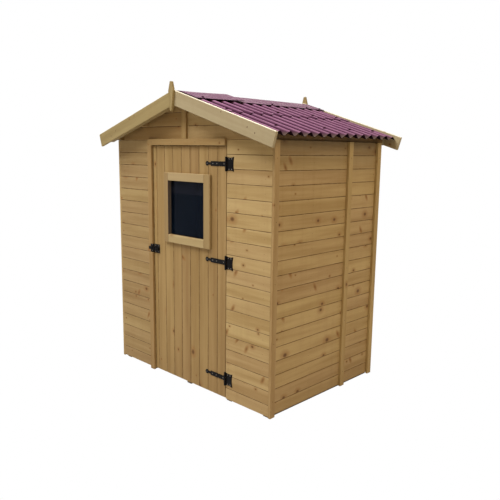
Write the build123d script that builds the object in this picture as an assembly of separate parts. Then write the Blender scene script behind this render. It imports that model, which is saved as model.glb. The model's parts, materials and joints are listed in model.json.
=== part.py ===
from build123d import *
import os
from math import cos, radians, sin, tan

# Wooden garden shed: boarded panels on studs, a corrugated roof on purlins,
# a ledged door with a window, three strap hinges and a sliding bolt.
# Millimetres. +Z is up, the front faces -Y, and the ground is z = 0 under the middle.

# Overall sizes
shed_width = 1600  # over the cladding of the two sides
shed_depth = 1146  # over the cladding of the front and the back
wall_height = 1728  # cladding, from its lower edge to the eaves
ground_clearance = 20  # lower edge of the cladding above the ground
roof_angle = 17  # degrees
seat_rise = 41  # roof seat above the eaves, at the outer face of the side walls
side_overhang = 118  # barge tip beyond the side wall
front_overhang = 106  # front face of the barge beyond the front wall

# Framing
cladding = 16
stud_depth = 45
stud_width = 28
bearer_width = 45
bearer_height = 40
bearer_place = 422  # bearers beside the doorway, from the middle
floor_thickness = 16
floor_setback = 5  # floor edge behind the cladding of the front and back
purlin_width = 45
purlin_height = 50
notch_gap = 0.5  # beside a purlin in its notch
gable_gap = 4  # gable boards under the roof seat

# Cover strips
strip_width = 45
strip_thickness = 18
strip_drop = 10  # strips run below the cladding
joint_place = 200  # joint of the side wall panels behind the middle

# Barge boards and finials
barge_height = 95
barge_thickness = 18
barge_lift = 36  # barge top above the roof seat
verge_height = 60  # batten behind the barge board, below the roof seat
verge_thickness = 28
finial_above = 52  # tip above the meeting point of the barges
finial_below = 140
finial_width = 50
finial_tip_width = 14
finial_foot_width = 18
finial_thickness = 20
finial_shoulder = 10  # widest place below the meeting point of the barges

# Corrugated sheets and ridge caps
sheet_thickness = 3
nominal_pitch = 95  # the waves are evened out over the width of the roof
wave_depth = 28  # between the crest and trough of the middle surface
flank_angle = 38.5  # degrees, the straight flank between trough and crest
sheet_side_gap = 3  # between the sheets and the barge boards
sheet_overhang = 75  # eave edge of the sheets beyond the side wall
upper_course_share = 0.48  # of the slope, to the lower edge of the upper sheets
sheet_lap = 100
ridge_gap = 125  # top edge of the upper sheets from the ridge line
seat_gap = 0.2  # between sheets, caps and what carries them
cap_radius = 250
cap_reach = 222  # lower edge of the cap from the ridge line
cap_lap = 100
cap_joint = 240  # end of the front cap before the middle

# Doorway and door
door_gap = 5
door_left = -367
door_width = 772
door_step = 5  # door's lower edge above that of the cladding
door_thickness = 16
head_height = 37  # rail over the door, under the eaves
head_strip_height = 44
ledge_height = 95
ledge_thickness = 20
ledge_setback = 32  # ledge ends from the door's edges
brace_width = 90
hinge_foot = 137  # lowest hinge above the door's lower edge
hinge_drop = 110  # highest hinge below the door's upper edge

# Window in the door
window_width = 487  # over the trim
window_height = 494
window_offset = 3  # window right of the door's middle
window_drop = 183  # trim below the door's upper edge
trim_stile = 62  # on the hinge side
trim_stile_left = 44
trim_rail = 56
trim_thickness = 20
pane_lip = 12  # trim over the edge of the pane
pane_thickness = 4
pane_setback = 10  # pane behind the face of the door boards
bead_proud = 8  # bead beyond the back of the door boards
pane_gap = 1

# Strap hinges
pin_radius = 3
barrel_radius = 6.5
pin_clearance = 0.05
knuckle_gap = 0.5
knuckle_length = 30  # middle knuckle, on the strap
hinge_thickness = 3
plate_height = 92
plate_width = 67
plate_hollow = 6  # depth of the hollowed edges
strap_length = 200
strap_half_width = 13
bead_radius = 16
bar_half_width = 15.5
strap_tip_radius = 15
neck_half_width = 8
bead_shares = [0.11, 0.2, 0.29]  # bead centres along the strap
bar_shares = [0.36, 0.74]  # ends of the wide bar along the strap

# Sliding bolt and keep
bolt_drop = 71  # bolt and middle hinge below the window trim
bolt_half = 6  # half the thickness of the square bolt
bolt_clearance = 0.08
bolt_travel = 30
bolt_length = 62
bolt_nose_setback = 3  # nose inside the door's edge when the bolt is drawn
bolt_plate_width = 62
bolt_plate_height = 66
bolt_plate_thickness = 3
bolt_plate_setback = 2
guide_width = 10
guide_half_height = 10
guide_cover = 4  # guide in front of the bolt
nose_chamfer = 3
lever_gap = 0.5  # between the lever and the guide
lever_width = 10
lever_thickness = 6
lever_reach = 16
keep_width = 42
keep_height = 64
keep_clearance = 0.8
keep_half_height = 10
keep_chamfer = 6
nose_length = 50  # closed socket of the keep
keep_room = 14  # left in the socket when the bolt is thrown

# Sizes that follow
overrun = 10 * cladding
half_width = shed_width / 2
half_depth = shed_depth / 2
inner_half_width = half_width - cladding
inner_half_depth = half_depth - cladding
stud_face_x = inner_half_width - stud_depth
stud_face_y = inner_half_depth - stud_depth
wall_top = ground_clearance + wall_height
floor_top = bearer_height + floor_thickness
slope = radians(roof_angle)
rise = tan(slope)
seat_apex = wall_top + seat_rise + half_width * rise
barge_front = half_depth + front_overhang
barge_back = barge_front - barge_thickness
purlin_end = barge_back - verge_thickness
barge_apex = seat_apex + barge_lift
door_right = door_left + door_width
opening_left = door_left - door_gap
opening_right = door_right + door_gap
opening_top = wall_top - head_height
door_top = opening_top - door_gap
door_bottom = ground_clearance + door_step
window_bottom = door_top - window_drop - window_height
bolt_height = window_bottom - bolt_drop
hinge_heights = [door_bottom + hinge_foot, bolt_height, door_top - hinge_drop]
strip_bottom = ground_clearance - strip_drop
door_face = -half_depth
door_back = door_face + door_thickness
sheet_width = 2 * (barge_back - sheet_side_gap)
wave_count = round(sheet_width / nominal_pitch)
wave_pitch = sheet_width / wave_count
flank = radians(flank_angle)
wave_radius = (wave_pitch / 2 * sin(flank) - wave_depth * cos(flank)) / (2 * (1 - cos(flank)))
sheet_foot = half_width + sheet_overhang
lower_lift = (wave_depth + sheet_thickness) / 2 + seat_gap
nest_rise = (sheet_thickness + seat_gap) / cos(flank)
upper_lift = lower_lift + nest_rise
lap_foot = ridge_gap + upper_course_share * (sheet_foot - ridge_gap)
lap_head = lap_foot - sheet_lap * cos(slope)
lap_middle = (lap_foot + lap_head) / 2
pin_x = (door_right + opening_right) / 2
pin_y = door_face - barrel_radius
bolt_y = door_face - bolt_plate_thickness - bolt_half - bolt_clearance
keep_bore_depth = bolt_travel - bolt_nose_setback - door_gap + keep_room


def seat(x):
    # Height of the roof seat at a distance from the ridge line
    return seat_apex - x * rise


def slab(x, y, z):
    # Block between the low and high ends given for each axis
    box = Box(x[1] - x[0], y[1] - y[0], z[1] - z[0])
    return Pos((x[0] + x[1]) / 2, (y[0] + y[1]) / 2, (z[0] + z[1]) / 2) * box


def upright(face, y):
    # Solid of an X-Z outline between two places along Y
    plane = Plane((0, y[1], 0), x_dir=(1, 0, 0), z_dir=(0, -1, 0))
    return extrude(plane * face, y[1] - y[0])


def outline(points):
    return make_face(Polyline(*points, close=True))


def rod(radius, start, end):
    # Round bar between two points
    path = Vector(*end) - Vector(*start)
    return extrude(Plane(start, z_dir=path) * Circle(radius), path.length)


def across(shape):
    return mirror(shape, about=Plane.YZ)


def behind(shape):
    return mirror(shape, about=Plane.XZ)


def group(shapes):
    return Compound([solid for shape in shapes for solid in shape.solids()])


# Floor
def floor_bearers():
    end = half_depth - cladding - floor_setback
    outer = inner_half_width - bearer_width / 2
    bearers = []
    for x in (-outer, -bearer_place, 0, bearer_place, outer):
        span = (x - bearer_width / 2, x + bearer_width / 2)
        bearers.append(slab(span, (-end, end), (0, bearer_height)))
    return group(bearers)


def floor_boards():
    end = half_depth - cladding - floor_setback
    return slab((-inner_half_width, inner_half_width), (-end, end), (bearer_height, floor_top))


# Wall panels and studs
def end_panel(x, back):
    y = (inner_half_depth, half_depth) if back else (-half_depth, -inner_half_depth)
    return slab(x, y, (ground_clearance, wall_top))


def side_panel(y):
    return slab((inner_half_width, half_width), y, (ground_clearance, wall_top))


def side_wall_studs():
    last = inner_half_depth - stud_width
    middle = (joint_place - last) / 2
    studs = []
    for y in (-last - stud_width, middle, joint_place - stud_width / 2, last):
        studs.append(slab((stud_face_x, inner_half_width), (y, y + stud_width), (floor_top, wall_top)))
    return group(studs + [across(stud) for stud in studs])


def end_wall_studs():
    front = (-inner_half_depth, -stud_face_y)
    back = (stud_face_y, inner_half_depth)
    height = (floor_top, wall_top)
    corner = stud_face_x - stud_width
    studs = []
    for x in (-stud_face_x, opening_left - stud_width, opening_right, corner):
        studs.append(slab((x, x + stud_width), front, height))
    for x in (-stud_face_x, -stud_width / 2, corner):
        studs.append(slab((x, x + stud_width), back, height))
    return group(studs)


# Gables, with a notch for each purlin
def purlin_places():
    middle = lap_middle - purlin_width / 2
    return {"ridge": ridge_gap, "mid": middle, "eave": stud_face_x}


def purlin(name):
    inner = purlin_places()[name]
    outer = inner + purlin_width
    lift = nest_rise / cos(slope) if name == "ridge" else 0
    bottom = wall_top if name == "eave" else seat(outer) + lift - purlin_height
    points = [(inner, bottom), (outer, bottom), (outer, seat(outer) + lift), (inner, seat(inner) + lift)]
    bar = upright(outline(points), (-purlin_end, purlin_end))
    return group([bar, across(bar)])


def gable_half():
    foot = [(0, wall_top), (stud_face_x, wall_top)]
    head = [(stud_face_x, seat(stud_face_x) - gable_gap), (0, seat_apex - gable_gap)]
    panel = upright(outline(foot + head), (-half_depth, -inner_half_depth))
    for name in ("ridge", "mid"):
        bounds = purlin(name).solids().sort_by(Axis.X)[-1].bounding_box()
        x = (bounds.min.X - notch_gap, bounds.max.X + notch_gap)
        panel = panel - slab(x, (-half_depth - overrun, 0), (bounds.min.Z, seat_apex + overrun))
    return panel


def gable_rails():
    span = (-stud_face_x, stud_face_x)
    rail = slab(span, (-inner_half_depth, -stud_face_y), (wall_top, wall_top + stud_depth))
    return group([rail, behind(rail)])


def gable_posts():
    foot = wall_top + stud_depth
    y = (-inner_half_depth, -stud_face_y)
    half = stud_width / 2
    king = slab((-half, half), y, (foot, seat(half) - gable_gap))
    bounds = purlin("mid").solids().sort_by(Axis.X)[-1].bounding_box()
    side = slab((lap_middle - half, lap_middle + half), y, (foot, bounds.min.Z))
    front = [king, side, across(side)]
    return group(front + [behind(post) for post in front])


# Strips that cover the corners and the joints of the panels
def corner_strips():
    height = (strip_bottom, wall_top)
    strip = slab((half_width, half_width + strip_thickness), (-half_depth, strip_width - half_depth), height)
    pair = [strip, behind(strip)]
    return group(pair + [across(piece) for piece in pair])


def joint_strips():
    height = (strip_bottom, wall_top)
    half = strip_width / 2
    side = slab((half_width, half_width + strip_thickness), (joint_place - half, joint_place + half), height)
    back = slab((-half, half), (half_depth, half_depth + strip_thickness), height)
    return group([side, across(side), back])


def gable_strips():
    half = strip_width / 2
    foot = opening_top + head_strip_height
    top = seat(half) - gable_gap
    front = slab((-half, half), (-half_depth - strip_thickness, -half_depth), (foot, top))
    back = slab((-half, half), (half_depth, half_depth + strip_thickness), (wall_top, top))
    return group([front, back])


# Doorway
def door_head():
    depth = (-half_depth, stud_depth - half_depth)
    return slab((opening_left, opening_right), depth, (opening_top, wall_top))


def door_head_strip():
    span = (opening_left - strip_width, door_right)
    depth = (-half_depth - strip_thickness, -half_depth)
    return slab(span, depth, (opening_top, opening_top + head_strip_height))


def door_side_strip():
    # The strip stops above and below the keep
    span = (opening_left - strip_width, opening_left)
    depth = (-half_depth - strip_thickness, -half_depth)
    half = keep_height / 2 + notch_gap
    lower = slab(span, depth, (strip_bottom, bolt_height - half))
    upper = slab(span, depth, (bolt_height + half, opening_top))
    return group([lower, upper])


# Barge boards and finials
def barge_half():
    # Board, and the batten behind it that the purlins end on
    tip = half_width + side_overhang
    drop = barge_height / cos(slope)
    cut = barge_height * sin(slope)
    top = barge_apex - tip * rise
    points = [(0, barge_apex), (tip, top), (tip - cut, top - barge_height * cos(slope)), (0, barge_apex - drop)]
    board = upright(outline(points), (-barge_front, -barge_back))
    end = inner_half_width
    depth = verge_height / cos(slope)
    points = [(0, seat_apex), (end, seat(end)), (end, seat(end) - depth), (0, seat_apex - depth)]
    batten = upright(outline(points), (-barge_back, -purlin_end))
    return group([board, batten])


def finials():
    # Tapered board with a flat tip and a rounded foot
    widest = barge_apex - finial_shoulder
    foot = barge_apex - finial_below + finial_foot_width / 2
    tip = (finial_tip_width / 2, barge_apex + finial_above)
    side = [tip, (finial_width / 2, widest), (finial_foot_width / 2, foot)]
    other = [(-x, z) for x, z in reversed(side)]
    sides = [Line(a, b) for a, b in zip(side, side[1:])] + [Line(a, b) for a, b in zip(other, other[1:])]
    arc = ThreePointArc(side[-1], (0, barge_apex - finial_below), other[0])
    face = make_face(sides + [arc, Line(other[-1], tip)])
    front = upright(face, (-barge_front - finial_thickness, -barge_front))
    return group([front, behind(front)])


# Corrugated roof
def wave_skin(offset):
    # One skin of the sheet along Y: arcs at the troughs and crests, straight flanks between them
    half = wave_pitch / 2
    steps = 2 * wave_count + 2
    start = -3 / 2 * half - sheet_width / 2
    point = (start - offset * sin(flank), offset * cos(flank))
    edges = []
    for step in range(steps):
        side = 1 if step % 2 == 0 else -1
        radius = wave_radius + side * offset
        middle = start + (step + 1 / 2) * half
        centre = side * (wave_depth / 2 - wave_radius)
        reach = radius * sin(flank)
        level = centre + side * radius * cos(flank)
        edges.append(Line(point, (middle - reach, level)))
        peak = (middle, centre + side * radius)
        point = (middle + reach, level)
        edges.append(ThreePointArc((middle - reach, level), peak, point))
    end = (start + steps * half - offset * sin(flank), offset * cos(flank))
    return edges + [Line(point, end)]


def sheet(head, foot, lift):
    # Sheet on the right slope between two distances from the ridge line, cut to width in a trough
    lower = wave_skin(-sheet_thickness / 2)
    upper = wave_skin(sheet_thickness / 2)
    first = Line(lower[0] @ 0, upper[0] @ 0)
    last = Line(lower[-1] @ 1, upper[-1] @ 1)
    face = make_face(lower + upper + [first, last])
    origin = (head + lift * sin(slope), 0, seat(head) + lift * cos(slope))
    plane = Plane(origin, x_dir=(0, 1, 0), z_dir=(cos(slope), 0, -sin(slope)))
    room = slab((0, foot + overrun), (-sheet_width / 2, sheet_width / 2), (0, barge_apex))
    return extrude(plane * face, (foot - head) / cos(slope)) & room


def ridge_cap(y, lift):
    # Rounded ridge with straight wings that lie on the crests
    under = upper_lift + (wave_depth + sheet_thickness) / 2 + seat_gap
    apex = seat_apex + under / cos(slope) + lift
    centre = apex - cap_radius / cos(slope)
    edges = []
    ends = []
    for radius in (cap_radius, cap_radius + sheet_thickness):
        grow = radius - cap_radius
        tangent = (radius * sin(slope), centre + radius * cos(slope))
        wing = (cap_reach + grow * sin(slope), apex - cap_reach * rise + grow * cos(slope))
        edges.append(ThreePointArc((-tangent[0], tangent[1]), (0, centre + radius), tangent))
        edges.append(Line(tangent, wing))
        edges.append(Line((-wing[0], wing[1]), (-tangent[0], tangent[1])))
        ends.append(wing)
    edges.append(Line(*ends))
    edges.append(Line(*[(-x, z) for x, z in ends]))
    return upright(make_face(edges), y)


# Door with its window
def window_box(left, right, inset_z, y):
    # Block of the window's outer size less an inset on each side
    middle = (door_left + door_right) / 2 + window_offset
    half = window_width / 2
    x = (middle - half + left, middle + half - right)
    z = (window_bottom + inset_z, window_bottom + window_height - inset_z)
    return slab(x, y, z)


def daylight(grow, y):
    # Opening inside the trim, grown on each side
    return window_box(trim_stile_left - grow, trim_stile - grow, trim_rail - grow, y)


def door_boards():
    # The cut-out is rebated from behind for the pane
    boards = slab((door_left, door_right), (door_face, door_back), (door_bottom, door_top))
    boards = boards - daylight(0, (door_face - overrun, door_back + overrun))
    return boards - daylight(pane_lip, (door_face + pane_setback, door_back + overrun))


def window_stiles():
    depth = (door_face - trim_thickness, door_face)
    frame = window_box(0, 0, 0, depth) - window_box(trim_stile_left, trim_stile, -overrun, depth)
    return group([frame])


def window_rails():
    depth = (door_face - trim_thickness, door_face)
    frame = window_box(trim_stile_left, trim_stile, 0, depth) - window_box(0, 0, trim_rail, depth)
    return group([frame])


def window_pane():
    front = door_face + pane_setback
    return daylight(pane_lip - pane_gap, (front, front + pane_thickness))


def window_bead():
    depth = (door_face + pane_setback + pane_thickness, door_back + bead_proud)
    return daylight(pane_lip, depth) - daylight(0, depth)


def ledge_span():
    return (door_left + ledge_setback, door_right - ledge_setback)


def door_ledges():
    depth = (door_back, door_back + ledge_thickness)
    half = ledge_height / 2
    ledges = [slab(ledge_span(), depth, (z - half, z + half)) for z in hinge_heights]
    return group(ledges)


def door_brace():
    # Rises from the hinge side of the lowest ledge to the middle one
    low = hinge_heights[0] + ledge_height / 2
    high = hinge_heights[1] - ledge_height / 2
    left, right = ledge_span()
    points = [(right - brace_width, low), (right, low), (left + brace_width, high), (left, high)]
    return upright(outline(points), (door_back, door_back + ledge_thickness))


# Strap hinges
def hinge_plate(z):
    # Plate with hollowed edges, two knuckles and the pin
    half = plate_height / 2
    far = plate_width
    corners = [(0, half), (far, half), (far, -half), (0, -half)]
    top = ThreePointArc(corners[0], (far / 2, half - plate_hollow), corners[1])
    edge = ThreePointArc(corners[1], (far - plate_hollow, 0), corners[2])
    foot = ThreePointArc(corners[2], (far / 2, plate_hollow - half), corners[3])
    face = make_face([top, edge, foot, Line(corners[3], corners[0])])
    plate = upright(Pos(pin_x, z) * face, (door_face - hinge_thickness, door_face))
    middle = knuckle_length / 2 + knuckle_gap
    room = barrel_radius + knuckle_gap
    reach = (pin_x - overrun, pin_x + room)
    plate = plate - slab(reach, (door_face - overrun, door_face), (z - middle, z + middle))
    barrels = [rod(barrel_radius, (pin_x, pin_y, z + a), (pin_x, pin_y, z + b)) for a, b in
               ((-half, -middle), (middle, half))]
    pin = rod(pin_radius, (pin_x, pin_y, z - half), (pin_x, pin_y, z + half))
    return plate + barrels + pin


def hinge_strap(z):
    # Beaded strap with a waist before its round tip, and the middle knuckle
    beads = [Pos(-share * strap_length, 0) * Circle(bead_radius) for share in bead_shares]
    bar_ends = [-share * strap_length for share in bar_shares]
    tip = strap_tip_radius - strap_length
    body = Pos(bar_ends[1] / 2, 0) * Rectangle(-bar_ends[1], 2 * strap_half_width)
    bar = Pos(sum(bar_ends) / 2, 0) * Rectangle(bar_ends[0] - bar_ends[1], 2 * bar_half_width)
    neck = Pos((bar_ends[1] + tip) / 2, 0) * Rectangle(bar_ends[1] - tip, 2 * neck_half_width)
    end = Pos(tip, 0) * Circle(strap_tip_radius)
    face = body + beads + bar + neck + end
    strap = upright(Pos(pin_x, z) * face, (door_face - hinge_thickness, door_face))
    half = knuckle_length / 2
    barrel = rod(barrel_radius, (pin_x, pin_y, z - half), (pin_x, pin_y, z + half))
    bore = rod(pin_radius + pin_clearance, (pin_x, pin_y, z - half - overrun), (pin_x, pin_y, z + half + overrun))
    return strap + barrel - bore


# Sliding bolt
def bolt_bar(x, room):
    # Square bar on the line of the bolt, with room on its four sides
    half = bolt_half + room
    return slab(x, (bolt_y - half, bolt_y + half), (bolt_height - half, bolt_height + half))


def bolt_guide(x, half_height):
    front = bolt_y - bolt_half - guide_cover
    return slab(x, (front, door_face), (bolt_height - half_height, bolt_height + half_height))


def bolt_plate():
    # Plate with two square guides that the bolt runs through
    left = door_left + bolt_plate_setback
    right = left + bolt_plate_width
    half = bolt_plate_height / 2
    depth = (door_face - bolt_plate_thickness, door_face)
    plate = slab((left, right), depth, (bolt_height - half, bolt_height + half))
    for start in (left, right - guide_width):
        plate = plate + bolt_guide((start, start + guide_width), guide_half_height)
    return plate - bolt_bar((left - overrun, right + overrun), bolt_clearance)


def bolt_rod():
    # Square rod with a tapered nose, and a flat lever between the guides
    nose = door_left + bolt_nose_setback
    bar = bolt_bar((nose, nose + bolt_length), 0)
    bar = chamfer(bar.faces().sort_by(Axis.X)[0].edges(), nose_chamfer)
    end = door_left + bolt_plate_setback + bolt_plate_width - guide_width - lever_gap
    half = lever_thickness / 2
    height = (bolt_height - half, bolt_height + half)
    return bar + slab((end - lever_width, end), (bolt_y - bolt_half - lever_reach, bolt_y), height)


def bolt_keep():
    # Closed socket with a tapered nose, on its own plate
    half = keep_height / 2
    right = opening_left
    depth = (door_face - bolt_plate_thickness, door_face)
    plate = slab((right - keep_width, right), depth, (bolt_height - half, bolt_height + half))
    socket = bolt_guide((right - nose_length, right), keep_half_height)
    nose = socket.faces().sort_by(Axis.X)[0].edges().sort_by(Axis.Y)[0]
    socket = chamfer(nose, keep_chamfer)
    return plate + socket - bolt_bar((right - keep_bore_depth, right + overrun), keep_clearance)


def shed():
    lower = sheet(lap_head, sheet_foot, lower_lift)
    upper = sheet(ridge_gap, lap_foot, upper_lift)
    cap_end = barge_back - sheet_thickness
    cap_step = (sheet_thickness + seat_gap) / cos(slope)
    barge = barge_half()
    gable = gable_half()
    return {
        "floor_bearers": floor_bearers(),
        "floor_boards": floor_boards(),
        "front_wall_left": end_panel((-half_width, opening_left), False),
        "front_wall_right": end_panel((opening_right, half_width), False),
        "right_wall_front": side_panel((-inner_half_depth, joint_place)),
        "right_wall_rear": side_panel((joint_place, inner_half_depth)),
        "left_wall_front": across(side_panel((-inner_half_depth, joint_place))),
        "left_wall_rear": across(side_panel((joint_place, inner_half_depth))),
        "back_wall_left": end_panel((-half_width, 0), True),
        "back_wall_right": end_panel((0, half_width), True),
        "front_gable_left": across(gable),
        "front_gable_right": gable,
        "back_gable_left": behind(across(gable)),
        "back_gable_right": behind(gable),
        "side_wall_studs": side_wall_studs(),
        "end_wall_studs": end_wall_studs(),
        "gable_rails": gable_rails(),
        "gable_posts": gable_posts(),
        "corner_strips": corner_strips(),
        "joint_strips": joint_strips(),
        "gable_strips": gable_strips(),
        "door_head": door_head(),
        "door_head_strip": door_head_strip(),
        "door_side_strip": door_side_strip(),
        "eave_purlins": purlin("eave"),
        "mid_purlins": purlin("mid"),
        "ridge_purlins": purlin("ridge"),
        "front_barge_left": across(barge),
        "front_barge_right": barge,
        "back_barge_left": behind(across(barge)),
        "back_barge_right": behind(barge),
        "finials": finials(),
        "roof_right_lower": lower,
        "roof_right_upper": upper,
        "roof_left_lower": across(lower),
        "roof_left_upper": across(upper),
        "ridge_cap_rear": ridge_cap((-cap_joint - cap_lap, cap_end), 0),
        "ridge_cap_front": ridge_cap((-cap_end, -cap_joint), cap_step),
        "hinge_plates": group([hinge_plate(z) for z in hinge_heights]),
        "bolt_keep": bolt_keep(),
        "door_boards": door_boards(),
        "door_ledges": door_ledges(),
        "door_brace": door_brace(),
        "window_stiles": window_stiles(),
        "window_rails": window_rails(),
        "window_pane": window_pane(),
        "window_bead": window_bead(),
        "hinge_straps": group([hinge_strap(z) for z in hinge_heights]),
        "bolt_plate": bolt_plate(),
        "bolt_rod": bolt_rod(),
    }


os.makedirs("parts", exist_ok=True)
for node, shape in shed().items():
    export_step(shape, f"parts/{node}.step")
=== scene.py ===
import json
import math
import random
import bmesh
import bpy
from mathutils import Matrix, Vector

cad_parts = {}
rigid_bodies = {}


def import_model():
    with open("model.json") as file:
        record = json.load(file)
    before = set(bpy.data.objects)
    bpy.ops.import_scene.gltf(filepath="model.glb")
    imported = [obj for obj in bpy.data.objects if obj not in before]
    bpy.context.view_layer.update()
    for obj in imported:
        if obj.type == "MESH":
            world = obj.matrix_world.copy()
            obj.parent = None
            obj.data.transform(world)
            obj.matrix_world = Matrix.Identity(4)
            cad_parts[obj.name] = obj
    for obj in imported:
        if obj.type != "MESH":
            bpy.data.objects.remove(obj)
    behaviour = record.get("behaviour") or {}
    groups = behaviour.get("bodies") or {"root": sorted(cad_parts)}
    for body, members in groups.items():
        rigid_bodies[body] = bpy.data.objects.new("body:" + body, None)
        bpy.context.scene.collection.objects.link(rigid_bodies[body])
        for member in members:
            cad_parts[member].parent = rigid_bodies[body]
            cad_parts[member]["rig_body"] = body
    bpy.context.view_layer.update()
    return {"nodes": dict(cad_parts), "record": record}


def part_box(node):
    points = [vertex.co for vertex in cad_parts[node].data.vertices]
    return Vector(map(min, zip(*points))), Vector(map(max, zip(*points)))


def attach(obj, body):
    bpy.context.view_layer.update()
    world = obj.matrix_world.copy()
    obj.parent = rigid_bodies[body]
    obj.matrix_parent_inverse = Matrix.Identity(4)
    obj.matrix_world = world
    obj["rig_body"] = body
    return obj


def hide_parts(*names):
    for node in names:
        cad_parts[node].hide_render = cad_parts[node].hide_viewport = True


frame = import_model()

dice = random.Random(41)
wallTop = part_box("front_wall_left")[1].z
slotOf = {part["node"]: part["material_slot"] for part in frame["record"]["subparts"]}
axisX, axisY, axisZ = Vector((1, 0, 0)), Vector((0, 1, 0)), Vector((0, 0, 1))


# colours are written as sRGB values out of 255
def paint(red, green, blue):
    linear = []
    for value in (red, green, blue):
        share = value / 255
        linear.append(share / 12.92 if share < 0.04045 else ((share + 0.055) / 1.055) ** 2.4)
    return (*linear, 1)


# Node helpers
def addNode(tree, kind, inputs=None, **settings):
    node = tree.nodes.new(kind)
    for name, value in settings.items():
        setattr(node, name, value)
    for name, value in (inputs or {}).items():
        if isinstance(value, bpy.types.NodeSocket):
            tree.links.new(value, node.inputs[name])
        else:
            node.inputs[name].default_value = value
    return node


def calc(tree, operation, first, second=0.0, third=0.0, clamp=False):
    inputs = {0: first, 1: second, 2: third}
    return addNode(tree, "ShaderNodeMath", inputs, operation=operation, use_clamp=clamp).outputs[0]


def blendColour(tree, factor, first, second):
    return addNode(tree, "ShaderNodeMix", {0: factor, 6: first, 7: second}, data_type="RGBA").outputs[2]


def ease(tree, value, start, end, low=0.0, high=1.0):
    inputs = {"Value": value, "From Min": start, "From Max": end, "To Min": low, "To Max": high}
    return addNode(tree, "ShaderNodeMapRange", inputs, interpolation_type="SMOOTHSTEP").outputs[0]


def stretch(tree, vector, scale, turn=(0, 0, 0)):
    return addNode(tree, "ShaderNodeMapping", {"Vector": vector, "Rotation": turn, "Scale": scale}).outputs[0]


def noise(tree, vector, scale, detail=2.0, rough=0.5):
    inputs = {"Vector": vector, "Scale": scale, "Detail": detail, "Roughness": rough}
    return addNode(tree, "ShaderNodeTexNoise", inputs).outputs[0]


def cells(tree, vector, scale):
    inputs = {"Vector": vector, "Scale": scale}
    found = addNode(tree, "ShaderNodeTexVoronoi", inputs, voronoi_dimensions="2D").outputs
    return found["Distance"], addNode(tree, "ShaderNodeSeparateColor", {0: found["Color"]}).outputs


def attribute(tree, name, output="Fac"):
    return addNode(tree, "ShaderNodeAttribute", attribute_name=name).outputs[output]


def startGroup(name, inputs, outputs):
    tree = bpy.data.node_groups.new(name, "ShaderNodeTree")
    for label, kind in inputs:
        tree.interface.new_socket(label, in_out="INPUT", socket_type=kind)
    for label, kind in outputs:
        tree.interface.new_socket(label, in_out="OUTPUT", socket_type=kind)
    return tree, tree.nodes.new("NodeGroupInput").outputs, tree.nodes.new("NodeGroupOutput").inputs


def useGroup(tree, group, inputs):
    return addNode(tree, "ShaderNodeGroup", inputs, node_tree=group).outputs


def startMaterial(name):
    material = bpy.data.materials.new(name)
    material.use_nodes = True
    tree = material.node_tree
    place = addNode(tree, "ShaderNodeTexCoord").outputs["Object"]
    return material, tree, tree.nodes["Principled BSDF"], place


def bumpFrom(tree, shader, height, strength, distance):
    inputs = {"Height": height, "Strength": strength, "Distance": distance}
    tree.links.new(addNode(tree, "ShaderNodeBump", inputs).outputs[0], shader.inputs["Normal"])


# Pine: rings round a pith behind the board, fibres, pin knots and slanting branch knots
figure = {
    "fibre": (14, 430, 430), "streak": (1.0, 17, 17), "warp": (1.7, 8, 8), "warpDepth": 0.02,
    "pith": (0, 0.012, 0.05), "swell": 0.016, "ringSharpness": 2.2, "ringShare": 0.34, "fibreShare": 0.25,
    "streakTone": (0.28, 0.75, -0.12, 0.5), "fibreRelief": 0.6, "roughness": (0.25, 0.5),
    "knotScale": 7.0, "knotLength": (0.75, 1, 1), "knotSmall": 0.0035, "knotLarge": 0.016, "knotSpread": 2.5,
    "knotEdge": (1.3, 0.35), "haloEdge": (3.4, 0.9), "branchScale": 2.1, "branchShape": (2.2, 5.0, 1),
    "branchTurn": (0, 0, math.radians(-60)), "branchEdge": (0.22, 0.06), "heartEdge": (0.1, 0.01),
    "haloTint": 0.5, "branchTint": 0.75, "heartTint": 0.5, "knotTint": 0.9, "toneHue": -0.005,
    "toneValue": -0.06,
}
vectorIn, floatIn, colourIn = "NodeSocketVector", "NodeSocketFloat", "NodeSocketColor"


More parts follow.
